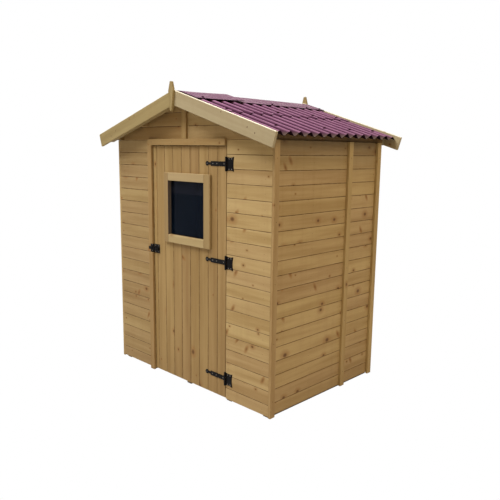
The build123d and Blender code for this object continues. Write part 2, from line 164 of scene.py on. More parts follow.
def makePineFigure():
    inputs = [("Grain", vectorIn), ("Tone", floatIn), ("Pale", colourIn), ("Dark", colourIn),
              ("Knot", colourIn), ("Branch", colourIn), ("Ring Width", floatIn), ("Knot Share", floatIn),
              ("Branch Share", floatIn)]
    outputs = [("Color", colourIn), ("Height", floatIn), ("Roughness", floatIn)]
    tree, given, out = startGroup("pineFigure", inputs, outputs)
    grain = given["Grain"]
    # pin knots, one at most in each cell
    near, lot = cells(tree, stretch(tree, grain, figure["knotLength"]), figure["knotScale"])
    here = calc(tree, "LESS_THAN", lot[0], given["Knot Share"])
    small, large = (figure[size] * figure["knotScale"] for size in ("knotSmall", "knotLarge"))
    growth = calc(tree, "POWER", lot[1], figure["knotSpread"])
    radius = calc(tree, "MULTIPLY_ADD", growth, large - small, small)
    reach = calc(tree, "DIVIDE", near, radius)
    knot = calc(tree, "MULTIPLY", ease(tree, reach, *figure["knotEdge"]), here)
    halo = calc(tree, "MULTIPLY", ease(tree, reach, *figure["haloEdge"]), here)
    # branch knots, long and slanting
    turned = stretch(tree, grain, (1, 1, 1), figure["branchTurn"])
    limb, limbLot = cells(tree, stretch(tree, turned, figure["branchShape"]), figure["branchScale"])
    limbHere = calc(tree, "LESS_THAN", limbLot[0], given["Branch Share"])
    branch = calc(tree, "MULTIPLY", ease(tree, limb, *figure["branchEdge"]), limbHere)
    heart = calc(tree, "MULTIPLY", ease(tree, limb, *figure["heartEdge"]), branch)
    # rings bend round the knots
    wander = calc(tree, "SUBTRACT", noise(tree, stretch(tree, grain, figure["warp"]), 1.0), 0.5)
    push = calc(tree, "MULTIPLY", wander, figure["warpDepth"])
    swell = calc(tree, "MULTIPLY_ADD", halo, figure["swell"], push)
    bend = addNode(tree, "ShaderNodeCombineXYZ", {"Y": push, "Z": swell}).outputs[0]
    bent = addNode(tree, "ShaderNodeVectorMath", {0: grain, 1: bend}, operation="ADD").outputs[0]
    placed = addNode(tree, "ShaderNodeVectorMath", {0: bent, 1: figure["pith"]}, operation="ADD").outputs[0]
    pitch = calc(tree, "DIVIDE", math.pi / 10, given["Ring Width"])
    rings = {"Vector": placed, "Scale": pitch, "Distortion": 1.4, "Detail": 2.0, "Detail Scale": 0.35}
    wave = addNode(tree, "ShaderNodeTexWave", rings, wave_type="RINGS", rings_direction="X", wave_profile="SIN")
    ring = calc(tree, "POWER", wave.outputs["Fac"], figure["ringSharpness"])
    fibre = noise(tree, stretch(tree, grain, figure["fibre"]), 1.0, 3.0)
    streak = noise(tree, stretch(tree, grain, figure["streak"]), 1.0, 3.0, 0.55)
    fibres = calc(tree, "MULTIPLY", fibre, figure["fibreShare"])
    shade = calc(tree, "MULTIPLY_ADD", ring, figure["ringShare"], fibres)
    shade = calc(tree, "ADD", shade, ease(tree, streak, *figure["streakTone"]), clamp=True)
    wood = blendColour(tree, shade, given["Pale"], given["Dark"])
    # each board has a tone of its own
    hue = calc(tree, "MULTIPLY_ADD", given["Tone"], figure["toneHue"], 0.5)
    value = calc(tree, "MULTIPLY_ADD", given["Tone"], figure["toneValue"], 1.0)
    wood = addNode(tree, "ShaderNodeHueSaturation", {"Hue": hue, "Value": value, "Color": wood}).outputs[0]
    tints = ((halo, "haloTint", "Branch"), (branch, "branchTint", "Branch"), (heart, "heartTint", "Knot"),
             (knot, "knotTint", "Knot"))
    for mask, depth, label in tints:
        wood = blendColour(tree, calc(tree, "MULTIPLY", mask, figure[depth]), wood, given[label])
    tree.links.new(wood, out["Color"])
    height = calc(tree, "SUBTRACT", calc(tree, "MULTIPLY_ADD", fibre, figure["fibreRelief"], ring), knot)
    tree.links.new(height, out["Height"])
    tree.links.new(calc(tree, "MULTIPLY_ADD", fibre, *figure["roughness"]), out["Roughness"])
    return tree


# Rain marks: streaks down the wall, a splash zone above the ground, and a painted eave shade darkening the wall
# top
rainShape = {"runs": (16, 16, 0.9), "runTone": (0.45, 0.8, 0.0, 0.5), "cloud": 2.6, "splashStray": -0.25,
             "splash": (0.14, -0.06, 0.0, 0.5), "eaveShadeDepth": 0.28}


def makeRainMarksAndEaveShade():
    inputs = [("Place", vectorIn), ("Color", colourIn), ("Stain", colourIn), ("Amount", floatIn),
              ("Eave Shade Color", colourIn), ("Eave Shade Amount", floatIn)]
    tree, given, out = startGroup("rainMarksAndEaveShade", inputs, [("Color", colourIn)])
    runs = noise(tree, stretch(tree, given["Place"], rainShape["runs"]), 1.0, 3.0, 0.6)
    cloud = noise(tree, given["Place"], rainShape["cloud"], 3.0)
    height = addNode(tree, "ShaderNodeSeparateXYZ", {0: given["Place"]}).outputs[2]
    level = calc(tree, "MULTIPLY_ADD", cloud, rainShape["splashStray"], height)
    splash = ease(tree, level, *rainShape["splash"])
    marks = calc(tree, "ADD", ease(tree, runs, *rainShape["runTone"]), splash)
    amount = calc(tree, "MULTIPLY", marks, given["Amount"], clamp=True)
    rained = blendColour(tree, amount, given["Color"], given["Stain"])
    # painted shade: the wood darkens towards the wall top, standing in for the shadow of the eaves
    eaveShadeMask = ease(tree, height, wallTop - rainShape["eaveShadeDepth"], wallTop)
    eaveShade = calc(tree, "MULTIPLY", eaveShadeMask, given["Eave Shade Amount"])
    tree.links.new(blendColour(tree, eaveShade, rained, given["Eave Shade Color"]), out["Color"])
    return tree


# Wear that follows the rounded edges, which carry the face attribute edge; on the barge tops the same mask
# carries a painted highlight
def makeEdgeWearAndHighlight():
    inputs = [("Edge", floatIn), ("Place", vectorIn), ("Scale", floatIn), ("Spread", floatIn),
              ("Amount", floatIn)]
    tree, given, out = startGroup("edgeWearAndHighlight", inputs, [("Mask", floatIn)])
    patch = calc(tree, "ADD", noise(tree, given["Place"], given["Scale"], 3.0), given["Spread"])
    worn = calc(tree, "MULTIPLY", ease(tree, patch, 0.42, 0.62), given["Edge"])
    tree.links.new(calc(tree, "MULTIPLY", worn, given["Amount"], clamp=True), out["Mask"])
    return tree


pineFigure, rainMarksAndEaveShade, edgeWearAndHighlight = makePineFigure(), makeRainMarksAndEaveShade(), makeEdgeWearAndHighlight()


# One pine finish for each use of the timber
def pine(name, look):
    material, tree, shader, place = startMaterial(name)
    inputs = {"Grain": attribute(tree, "grain", "Vector"), "Tone": attribute(tree, "tone"),
              "Pale": paint(*look["pale"]), "Dark": paint(*look["dark"]), "Knot": paint(*look["knot"]),
              "Branch": paint(*look["branch"]), "Ring Width": look["ring"], "Knot Share": look["knots"],
              "Branch Share": look["branches"]}
    wood = useGroup(tree, pineFigure, inputs)
    rain = {"Place": place, "Color": wood["Color"], "Stain": paint(*look["stain"]), "Amount": look["rain"],
            "Eave Shade Color": paint(*look["eaveShadeColour"]), "Eave Shade Amount": look["eaveShade"]}
    colour = useGroup(tree, rainMarksAndEaveShade, rain)["Color"]
    joint = calc(tree, "MULTIPLY", ease(tree, attribute(tree, "joint"), 0.0, 1.0), look["jointDirt"])
    colour = blendColour(tree, joint, colour, paint(*look["jointColour"]))
    wear = {"Edge": attribute(tree, "edge"), "Place": place, "Scale": look["wearScale"],
            "Spread": look["spread"], "Amount": look["wear"]}
    colour = blendColour(tree, useGroup(tree, edgeWearAndHighlight, wear)["Mask"], colour, paint(*look["wearAndHighlightColour"]))
    # painted shade on the faces that look into the window's opening
    shade = calc(tree, "MULTIPLY", attribute(tree, "shade"), look["revealShade"])
    colour = blendColour(tree, shade, colour, paint(*look["revealShadeColour"]))
    tree.links.new(colour, shader.inputs["Base Color"])
    tree.links.new(wood["Roughness"], shader.inputs["Roughness"])
    shader.inputs["Specular IOR Level"].default_value = look["gloss"]
    bumpFrom(tree, shader, wood["Height"], look["bump"], look["bumpDepth"])
    return material


plainPine = {
    "pale": (194, 167, 118), "dark": (154, 122, 73), "knot": (96, 63, 33), "branch": (150, 104, 56),
    "ring": 0.0052, "knots": 0.62, "branches": 0.12, "stain": (140, 106, 62), "rain": 0.3,
    "eaveShadeColour": (84, 66, 32), "eaveShade": 0.0, "jointDirt": 0.88, "jointColour": (82, 54, 28), "wear": 0.3,
    "wearScale": 22.0, "spread": 0.0, "wearAndHighlightColour": (200, 172, 122), "revealShade": 0.85,
    "revealShadeColour": (84, 76, 76), "gloss": 0.25, "bump": 0.35, "bumpDepth": 0.0006,
}
wallPine = pine("wallPine", plainPine)
# painted shade: the side walls darken towards their top, standing in for the shadow of the eaves
sidePine = pine("sidePine", {**plainPine, "eaveShade": 0.55})
# painted shade: darker copies of the wall pine for the left front wall and the left front gable, where less
# light falls
leftWallShadePine = pine("leftWallShadePine", {**plainPine, "pale": (176, 150, 104), "dark": (138, 108, 63)})
gableShadePine = pine("gableShadePine", {**plainPine, "pale": (168, 137, 89), "dark": (140, 106, 60)})
stripPine = pine("stripPine", {**plainPine, "pale": (186, 159, 109), "dark": (156, 125, 76), "knots": 0.25,
                               "branches": 0.0})
headPine = pine("headPine", {**plainPine, "pale": (172, 142, 94), "dark": (144, 112, 66), "knots": 0.25,
                             "branches": 0.0})
doorPine = pine("doorPine", {**plainPine, "pale": (174, 145, 96), "dark": (137, 106, 61), "knots": 0.3,
                             "branches": 0.02, "jointDirt": 0.8})
# the pale worn colour on the barge tops is a painted highlight, as if lit from above
bargeLook = {**plainPine, "pale": (178, 164, 130), "dark": (156, 139, 104), "knots": 0.2, "branches": 0.01,
             "rain": 0.15, "wearAndHighlightColour": (228, 220, 200), "wear": 0.9, "spread": 0.2}
bargePine = pine("bargePine", bargeLook)
# painted shade: a darker copy of the barge pine for the left front barge and the finials
bargeShadePine = pine("bargeShadePine", {**bargeLook, "pale": (159, 140, 97), "dark": (137, 117, 75)})
railPine = pine("railPine", {**plainPine, "pale": (184, 163, 120), "dark": (164, 140, 99), "knots": 0.1,
                             "branches": 0.0, "rain": 0.1})
stilePine = pine("stilePine", {**plainPine, "pale": (164, 138, 96), "dark": (142, 116, 77), "knots": 0.12,
                               "branches": 0.0, "rain": 0.15})
framePine = pine("framePine", {**plainPine, "pale": (180, 152, 106), "dark": (150, 118, 74)})
# painted shade: the eave purlins are darkened, as they sit in the shadow under the roof sheets
purlinShadePine = pine("purlinShadePine", {**plainPine, "pale": (138, 108, 62), "dark": (112, 84, 44), "rain": 0.2})
floorPine = pine("floorPine", {**plainPine, "pale": (170, 142, 98), "dark": (138, 106, 66), "rain": 0.2})
bearerPine = pine("bearerPine", {**plainPine, "pale": (104, 90, 66), "dark": (72, 60, 42), "rain": 0.4,
                                 "wearAndHighlightColour": (122, 106, 80)})
print("pine finishes ready")


# Bitumen sheet: matt, fibrous, faded with a painted highlight on the crests, painted shade in the troughs,
# dusty at the eaves and black brown underneath
skinShape = {"grit": 900.0, "fibre": (60, 260, 60), "cloud": 5.5, "runs": (2.0, 46, 2.0), "crest": (0.3, 1.0),
             "crestTone": (0.3, 0.7, 0.7, 1.0), "trough": (0.1, -0.8), "troughShadeTone": (0.3, 0.7, 0.75, 1.0),
             "bodyTone": (0.25, 0.8, 0.0, 0.4), "fleck": (0.55, 1.0), "dustTone": (0.2, 0.7, 0.6, 0.95),
             "roughness": (0.2, 0.8, 0.7, 0.9)}


def makeSheetSkin():
    inputs = [("Place", vectorIn), ("Crest", floatIn), ("Under", floatIn), ("Body", colourIn),
              ("Faded Highlight", colourIn), ("Deep", colourIn), ("Core", colourIn), ("Dust", floatIn),
              ("Dust Color", colourIn), ("Fleck", floatIn)]
    outputs = [("Color", colourIn), ("Height", floatIn), ("Roughness", floatIn)]
    tree, given, out = startGroup("sheetSkin", inputs, outputs)
    grit = noise(tree, given["Place"], skinShape["grit"])
    fibre = noise(tree, stretch(tree, given["Place"], skinShape["fibre"]), 1.0, 3.0)
    cloud = noise(tree, given["Place"], skinShape["cloud"], 4.0, 0.6)
    runs = noise(tree, stretch(tree, given["Place"], skinShape["runs"]), 1.0, 3.0)
    onCrest, inTrough = (ease(tree, given["Crest"], *skinShape[part]) for part in ("crest", "trough"))
    # the crests are faded and carry a painted highlight; the troughs get a painted shade
    fadeAndHighlight = calc(tree, "MULTIPLY", onCrest, ease(tree, cloud, *skinShape["crestTone"]))
    troughShade = calc(tree, "MULTIPLY", inTrough, ease(tree, runs, *skinShape["troughShadeTone"]))
    skin = blendColour(tree, ease(tree, cloud, *skinShape["bodyTone"]), given["Body"], given["Deep"])
    skin = blendColour(tree, fadeAndHighlight, skin, given["Faded Highlight"])
    skin = blendColour(tree, troughShade, skin, given["Deep"])
    speck = ease(tree, calc(tree, "MULTIPLY_ADD", fibre, 0.5, grit), *skinShape["fleck"])
    skin = blendColour(tree, calc(tree, "MULTIPLY", speck, given["Fleck"]), skin, given["Deep"])
    settled = calc(tree, "MULTIPLY", given["Dust"], ease(tree, cloud, *skinShape["dustTone"]))
    skin = blendColour(tree, settled, skin, given["Dust Color"])
    tree.links.new(blendColour(tree, given["Under"], skin, given["Core"]), out["Color"])
    tree.links.new(calc(tree, "ADD", grit, fibre), out["Height"])
    tree.links.new(ease(tree, cloud, *skinShape["roughness"]), out["Roughness"])
    return tree


sheetSkin = makeSheetSkin()


def bitumen(name, look):
    material, tree, shader, place = startMaterial(name)
    inputs = {"Place": place, "Crest": attribute(tree, "crest"), "Under": attribute(tree, "under"),
              "Dust": attribute(tree, "dust"), "Dust Color": paint(*look["dust"]), "Fleck": look["fleck"]}
    for label in ("Body", "Faded Highlight", "Deep", "Core"):
        inputs[label] = paint(*look[label.lower()])
    skin = useGroup(tree, sheetSkin, inputs)
    tree.links.new(skin["Color"], shader.inputs["Base Color"])
    tree.links.new(skin["Roughness"], shader.inputs["Roughness"])
    shader.inputs["Specular IOR Level"].default_value = look["gloss"]
    bumpFrom(tree, shader, skin["Height"], look["relief"], look["reliefDepth"])
    return material


sheetLook = {"body": (75, 42, 63), "faded highlight": (162, 116, 147), "deep": (46, 24, 38), "core": (34, 18, 24),
             "dust": (98, 84, 74), "fleck": 0.35, "gloss": 0.02, "relief": 0.4, "reliefDepth": 0.0008}
sheetBitumen = bitumen("sheetBitumen", sheetLook)
capBitumen = bitumen("capBitumen", {**sheetLook, "body": (117, 87, 108), "faded highlight": (129, 99, 119),
                                    "deep": (105, 75, 95), "fleck": 0.1, "relief": 0.12})
nailBitumen = bitumen("nailBitumen", {**sheetLook, "body": (54, 28, 40), "faded highlight": (62, 34, 47),
                                      "deep": (42, 20, 31)})


# Iron: satin black hinges and bolt, pale bare screws whose light heads also stand in as painted glints, and
# brown nails, rubbed on the edges
ironSkin = {"dimple": 240.0, "cloud": 34.0, "wearScale": 90.0, "roughSpan": 0.2, "bump": 0.25,
            "bumpDepth": 0.0005}


def ironFinish(name, look):
    material, tree, shader, place = startMaterial(name)
    dimple = noise(tree, place, ironSkin["dimple"])
    cloud = noise(tree, place, ironSkin["cloud"], 3.0)
    coat = blendColour(tree, cloud, paint(*look["coat"]), paint(*look["dull"]))
    wear = {"Edge": attribute(tree, "edge"), "Place": place, "Scale": ironSkin["wearScale"], "Spread": 0.0,
            "Amount": look["wear"]}
    worn = useGroup(tree, edgeWearAndHighlight, wear)["Mask"]
    tree.links.new(blendColour(tree, worn, coat, paint(*look["bare"])), shader.inputs["Base Color"])
    rough = ease(tree, cloud, 0.2, 0.8, look["smooth"], look["smooth"] + ironSkin["roughSpan"])
    tree.links.new(rough, shader.inputs["Roughness"])
    shader.inputs["Metallic"].default_value = look["metal"]
    shader.inputs["Specular IOR Level"].default_value = look["gloss"]
    bumpFrom(tree, shader, dimple, ironSkin["bump"], ironSkin["bumpDepth"])
    return material


blackIron = ironFinish("blackIron", {"coat": (9, 7, 7), "dull": (15, 12, 12), "bare": (62, 54, 50),
                                     "wear": 0.35, "smooth": 0.36, "metal": 0.0, "gloss": 0.08})
# the screws are pale bare steel, light enough to stand in as painted glints on the black ironwork
screwGlintIron = ironFinish("screwGlintIron", {"coat": (128, 118, 108), "dull": (92, 84, 76), "bare": (140, 130, 120),
                                     "wear": 0.5, "smooth": 0.3, "metal": 0.3, "gloss": 0.5})
nailIron = ironFinish("nailIron", {"coat": (104, 80, 52), "dull": (78, 58, 38), "bare": (120, 98, 70),
                                   "wear": 0.3, "smooth": 0.5, "metal": 0.2, "gloss": 0.3})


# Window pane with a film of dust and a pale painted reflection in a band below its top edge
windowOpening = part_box("window_pane")
glassLook = {"film": (5, 5, 3), "filmRough": (0.35, 0.8, 0.02, 0.14), "tint": (46, 68, 96),
             "filmTint": (38, 56, 83), "reflectionBand": (96, 100, 122), "reflectionAmount": 0.8, "reflectionTop": 0.03,
             "reflectionFoot": 0.09, "reflectionFade": 0.02, "clear": 0.93, "bend": 1.12, "gleam": (176, 204, 255),
             "ripple": 3.5, "edge": 0.0006}


def paneGlass():
    material, tree, shader, place = startMaterial("paneGlass")
    film = noise(tree, stretch(tree, place, glassLook["film"]), 1.0, 4.0, 0.6)
    tree.links.new(ease(tree, film, *glassLook["filmRough"]), shader.inputs["Roughness"])
    clean, dusty = paint(*glassLook["tint"]), paint(*glassLook["filmTint"])
    tint = blendColour(tree, ease(tree, film, 0.3, 0.8), clean, dusty)
    height = addNode(tree, "ShaderNodeSeparateXYZ", {0: place}).outputs[2]
    # painted reflection: a pale band just below the top edge of the pane
    reflectionTop, reflectionFoot = (windowOpening[1].z - glassLook[end] for end in ("reflectionTop", "reflectionFoot"))
    aboveFoot = ease(tree, height, reflectionFoot - glassLook["reflectionFade"], reflectionFoot)
    belowTop = ease(tree, height, reflectionTop + glassLook["reflectionFade"], reflectionTop)
    reflectionBand = calc(tree, "MULTIPLY", calc(tree, "MULTIPLY", aboveFoot, belowTop), glassLook["reflectionAmount"])
    tint = blendColour(tree, reflectionBand, tint, paint(*glassLook["reflectionBand"]))
    tree.links.new(tint, shader.inputs["Base Color"])
    shader.inputs["Transmission Weight"].default_value = glassLook["clear"]
    shader.inputs["IOR"].default_value = glassLook["bend"]
    shader.inputs["Specular Tint"].default_value = paint(*glassLook["gleam"])
    bumpFrom(tree, shader, noise(tree, place, glassLook["ripple"], 1.0), 0.05, 0.002)
    return material


clearPane = paneGlass()
print("roof, iron and glass finishes ready")


# Mesh helpers, with angles in degrees
sharpEdge, softIron, softDome = 32, 40, 50


def nodeCopy(node):
    bm = bmesh.new()
    bm.from_mesh(frame["nodes"][node].data)
    bmesh.ops.remove_doubles(bm, verts=bm.verts, dist=1e-5)
    bmesh.ops.dissolve_limit(bm, angle_limit=math.radians(1), verts=bm.verts, edges=bm.edges)
    return bm


def addTo(bm, other):
    mesh = bpy.data.meshes.new("passing")
    other.to_mesh(mesh)
    bm.from_mesh(mesh)
    bpy.data.meshes.remove(mesh)
    other.free()


def islands(bm):
    seen = set()
    for first in bm.verts:
        if first in seen:
            continue
        found, todo = [], [first]
        seen.add(first)
        while todo:
            vert = todo.pop()
            found.append(vert)
            for edge in vert.link_edges:
                other = edge.other_vert(vert)
                if other not in seen:
                    seen.add(other)
                    todo.append(other)
        yield found


def roundEdges(bm, width, segments, edges=None):
    wear = bm.faces.layers.float.get("edge") or bm.faces.layers.float.new("edge")
    if edges is None:
        sharp = math.radians(sharpEdge)
        edges = [edge for edge in bm.edges if edge.is_manifold and edge.calc_face_angle() > sharp]
    made = bmesh.ops.bevel(bm, geom=edges, offset=width, offset_type="OFFSET", segments=segments, profile=0.5,
                           affect="EDGES", clamp_overlap=True, material=-1)
    for face in made["faces"]:
        face[wear] = 1.0


# grain runs along each timber, with its own place in the log and its own tone
def setGrain(bm, along=None, toneRange=1.0):
    grain = bm.verts.layers.float_vector.get("grain") or bm.verts.layers.float_vector.new("grain")
    tone = bm.verts.layers.float.get("tone") or bm.verts.layers.float.new("tone")
    for timber in islands(bm):
        run = along
        if run is None:
            edges = [edge for vert in timber for edge in vert.link_edges]
            longest = max(edges, key=lambda edge: round(edge.calc_length(), 5))
            run = (longest.verts[1].co - longest.verts[0].co).normalized()
        side = axisY if abs(run.y) < 0.5 else axisX
        other = run.cross(side)
        spread = []
        for line in (side, other):
            reach = [vert.co.dot(line) for vert in timber]
            spread.append(max(reach) - min(reach))
        deep, wide = (side, other) if spread[0] < spread[1] else (other, side)
        shift = Vector([dice.uniform(-20, 20) for step in range(2)] + [dice.uniform(-0.03, 0.03)])
        shade = dice.uniform(-toneRange, toneRange)
        middle = sum(vert.co.dot(deep) for vert in timber) / len(timber)
        for vert in timber:
            place = Vector((vert.co.dot(run), vert.co.dot(wide), vert.co.dot(deep) - middle))
            vert[grain] = place + shift
            vert[tone] = shade


# faces that look sideways into the window's opening get a painted shade
def shadeReveals(bm, opening):
    shade = bm.faces.layers.float.new("shade")
    low, high = opening
    for face in bm.faces:
        middle = face.calc_center_median()
        inside = low.x - 0.001 < middle.x < high.x + 0.001 and low.z < middle.z < high.z
        face[shade] = 1.0 if inside and abs(face.normal.x) > 0.9 else 0.0


# painted highlight: only the upper faces of the barge boards take the pale worn colour, as if lit from above
def paintedHighlightTops(bm):
    wear = bm.faces.layers.float["edge"]
    for face in bm.faces:
        face[wear] = 1.0 if face.normal.z > 0.3 else 0.0


def finishPiece(bm, name, material, body, slotName, nodes=(), smooth=None):
    bmesh.ops.recalc_face_normals(bm, faces=bm.faces)
    mesh = bpy.data.meshes.new(name)
    bm.to_mesh(mesh)
    bm.free()
    if smooth:
        mesh.polygons.foreach_set("use_smooth", [True] * len(mesh.polygons))
        mesh.set_sharp_from_angle(angle=math.radians(smooth))
    piece = bpy.data.objects.new(name, mesh)
    bpy.context.scene.collection.objects.link(piece)
    mesh.materials.append(material)
    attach(piece, body)
    if nodes:
        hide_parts(*nodes)


def bodyOf(node):
    return frame["nodes"][node]["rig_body"]


# Boards sawn from the panels: tongued joints with a chamfer on the outer face
saw = {"narrowest": 0.004, "onPlane": 1e-5, "onSeam": 1e-4, "lipDepth": 0.0005, "tongueShort": 0.001}


def liesOn(verts, line, level):
    return all(abs(vert.co.dot(line) - level) < saw["onPlane"] for vert in verts)


def cutAway(bm, place, normal):
    geom = list(bm.verts) + list(bm.edges) + list(bm.faces)
    bmesh.ops.bisect_plane(bm, geom=geom, dist=1e-6, plane_co=place, plane_no=normal, clear_outer=True)
    rim = [edge for edge in bm.edges if edge.is_boundary]
    bmesh.ops.holes_fill(bm, edges=rim)


# the seam is where a gable stands on its wall, and gets a chamfer too; on the side walls, where no gable
# stands, its dark line along the top is a painted shade under the eaves
def sawPanel(node, joints, across, outward, look, seam=math.inf):
    panel = nodeCopy(node)
    boards = bmesh.new()
    reach = [vert.co.dot(across) for vert in panel.verts]
    start, end = min(reach), max(reach)
    face = max(vert.co.dot(outward) for vert in panel.verts)
    half = look["gap"] / 2
    inside = [joint for joint in sorted(joints) if start + saw["narrowest"] < joint < end - saw["narrowest"]]
    ends = [None] + inside + [None]
    for low, high in zip(ends, ends[1:]):
        board = panel.copy()
        rims = ((low, start), (high, end))
        sides = [rim for joint, rim in rims if joint is None and abs(rim - seam) < saw["onSeam"]]
        if low is not None:
            cutAway(board, across * (low + half), -across)
            sides.append(low + half)
        if high is not None:
            cutAway(board, across * (high - half), across)
            sides.append(high - half)
        lips = [edge for edge in board.edges if liesOn(edge.verts, outward, face)
                and any(liesOn(edge.verts, across, side) for side in sides)]
        roundEdges(board, look["chamfer"], 1, lips)
        dirt = board.verts.layers.float.new("joint")
        for vert in board.verts:
            depth = face - vert.co.dot(outward)
            near = any(liesOn([vert], across, side) for side in sides)
            vert[dirt] = 1.0 if near and depth > saw["lipDepth"] else 0.0
        addTo(boards, board)
    for joint in inside:
        tongue = panel.copy()
        cutAway(tongue, across * (joint - look["tongue"]), -across)
        cutAway(tongue, across * (joint + look["tongue"]), across)
        cutAway(tongue, outward * (face - look["groove"]), outward)
        cutAway(tongue, outward * (face - look["groove"] - look["tongueDepth"]), -outward)
        dirt = tongue.verts.layers.float.new("joint")
        for vert in tongue.verts:
            vert[dirt] = 1.0
        # the tongue stops short of the board ends
        length = across.cross(outward)
        for strip in islands(tongue):
            middle = sum(vert.co.dot(length) for vert in strip) / len(strip)
            for vert in strip:
                vert.co -= length * math.copysign(saw["tongueShort"], vert.co.dot(length) - middle)
        addTo(boards, tongue)
    panel.free()
    setGrain(boards, across.cross(outward), look["toneRange"])
    return boards


wallBoards = {"pitch": 0.0917, "gap": 0.0016, "chamfer": 0.002, "groove": 0.0045, "tongueDepth": 0.005,
              "tongue": 0.005, "toneRange": 0.8, "below": 18, "above": 3}
# the left front wall and the left front gable take pine darkened as painted shade; the side walls carry the
# painted eave shade
panelPine = {"front_wall_left": leftWallShadePine, "front_gable_left": gableShadePine, "right_wall_front": sidePine,
             "right_wall_rear": sidePine, "left_wall_front": sidePine, "left_wall_rear": sidePine}
wallSteps = range(-wallBoards["below"], wallBoards["above"] + 1)
wallJoints = [wallTop + wallBoards["pitch"] * step for step in wallSteps if step]
wallNodes = {"front_wall_left": -axisY, "front_wall_right": -axisY, "right_wall_front": axisX,
             "right_wall_rear": axisX, "left_wall_front": -axisX, "left_wall_rear": -axisX,
             "back_wall_left": axisY, "back_wall_right": axisY, "front_gable_left": -axisY,
             "front_gable_right": -axisY, "back_gable_left": axisY, "back_gable_right": axisY}
for node, outward in wallNodes.items():
    boards = sawPanel(node, wallJoints, axisZ, outward, wallBoards, wallTop)
    finishPiece(boards, node + "_boards", panelPine.get(node, wallPine), "shed", slotOf[node], [node])
print("wall and gable boards sawn")

doorLeaf = {"pitch": 0.0931, "last": 0.323, "gap": 0.0018, "chamfer": 0.0022, "groove": 0.0045,
            "tongueDepth": 0.005, "tongue": 0.005, "toneRange": 0.7, "joints": 8}
doorJoints = [doorLeaf["last"] - doorLeaf["pitch"] * step for step in range(doorLeaf["joints"])]
leaf = sawPanel("door_boards", doorJoints, axisX, -axisY, doorLeaf)
shadeReveals(leaf, windowOpening)
finishPiece(leaf, "door_leaf_boards", doorPine, "door", slotOf["door_boards"], ["door_boards"])

floorDeck = {"pitch": 0.095, "gap": 0.002, "chamfer": 0.0015, "groove": 0.0055, "tongueDepth": 0.005,
             "tongue": 0.005, "toneRange": 1.0, "joints": 13}
middleJoint = floorDeck["joints"] // 2
floorJoints = [floorDeck["pitch"] * (step - middleJoint) for step in range(floorDeck["joints"])]
deck = sawPanel("floor_boards", floorJoints, axisY, axisZ, floorDeck)
finishPiece(deck, "floor_deck_boards", floorPine, "shed", slotOf["floor_boards"], ["floor_boards"])
print("door and floor boards sawn")

# Timbers: studs, strips, barge boards and trim with their edges eased
timbers = {
    "corner_strips": (stripPine, 0.002), "joint_strips": (stripPine, 0.002), "gable_strips": (headPine, 0.002),
    "door_head_strip": (headPine, 0.002), "door_side_strip": (headPine, 0.002),
    "front_barge_left": (bargeShadePine, 0.003), "front_barge_right": (bargePine, 0.003),
    "back_barge_left": (bargePine, 0.003), "back_barge_right": (bargePine, 0.003),
    "finials": (bargeShadePine, 0.002),
    "window_stiles": (stilePine, 0.003), "window_rails": (railPine, 0.003), "window_bead": (framePine, 0.0015),
    "side_wall_studs": (framePine, 0.0015), "end_wall_studs": (framePine, 0.0015),
    "gable_rails": (framePine, 0.0015), "gable_posts": (framePine, 0.0015), "door_head": (framePine, 0.001),
    "eave_purlins": (purlinShadePine, 0.0015), "mid_purlins": (framePine, 0.0015),
    "ridge_purlins": (framePine, 0.0015), "door_ledges": (framePine, 0.0018),
    "door_brace": (framePine, 0.0018), "floor_bearers": (bearerPine, 0.0015),
}
for node, (finish, width) in timbers.items():
    timber = nodeCopy(node)
    roundEdges(timber, width, 2)
    setGrain(timber)
    if node in ("window_stiles", "window_bead"):
        shadeReveals(timber, windowOpening)
    if finish in (bargePine, bargeShadePine):
        paintedHighlightTops(timber)
    finishPiece(timber, node + "_timber", finish, bodyOf(node), slotOf[node], [node])
print("timbers eased")

# Corrugated sheets and ridge caps
roof = {"slope": math.radians(17), "bargeLift": 0.036, "waves": 14, "depth": 0.028, "thick": 0.003,
        "steps": 14, "runs": 12, "seatGap": 0.0002, "nest": 0.0041, "lapLift": 0.011, "lapFrom": 0.7,
        "lapRun": 0.3, "lastWave": 0.010, "wander": 0.0007, "wanderTurns": 9, "dustFrom": 0.9, "dustHold": 0.8,
        "smooth": 40}
roof["half"] = (roof["depth"] + roof["thick"]) / 2  # sheet above and below its middle surface
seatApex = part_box("front_barge_right")[1].z - roof["bargeLift"]
outOfSlope = Vector((math.sin(roof["slope"]), 0, math.cos(roof["slope"])))


# point on the right slope, at a distance from the ridge line and above the roof seat
def onSlope(x, y, lift):
    return Vector((x, y, seatApex - x * math.tan(roof["slope"]))) + outOfSlope * lift


def corrugated(node, lift, lapLift, dusty):
    low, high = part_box(node)
    head = low.x - (lift - roof["half"]) * outOfSlope.x
    foot = high.x - (lift + roof["half"]) * outOfSlope.x
    bm = bmesh.new()
    bmesh.ops.create_grid(bm, x_segments=roof["runs"], y_segments=roof["waves"] * roof["steps"], size=0.5)
    crest, dust = bm.verts.layers.float.new("crest"), bm.verts.layers.float.new("dust")
    phase = dice.uniform(0, 6)
    for vert in bm.verts:
        down, along = vert.co.x + 0.5, vert.co.y + 0.5
        wave = -math.cos(math.tau * roof["waves"] * along)
        nearLap = max(0.0, (down - roof["lapFrom"]) / roof["lapRun"])
        gape = lapLift * nearLap ** 2 * (1 - wave) / 2
        wander = roof["wander"] * math.sin(roof["wanderTurns"] * along + phase) * down
        pressed = roof["lastWave"] * max(0.0, 1 - abs(1 - along) * roof["waves"]) * (1 + wave) / 2
        level = lift + wave * roof["depth"] / 2 + gape + wander - pressed
        vert[crest] = wave
        nearFoot = max(0.0, (down - roof["dustFrom"]) / (1 - roof["dustFrom"]))
        vert[dust] = dusty * nearFoot * min(1.0, roof["dustHold"] * (1 - wave))
        vert.co = onSlope(head + down * (foot - head), low.y + along * (high.y - low.y), level)
    return bm


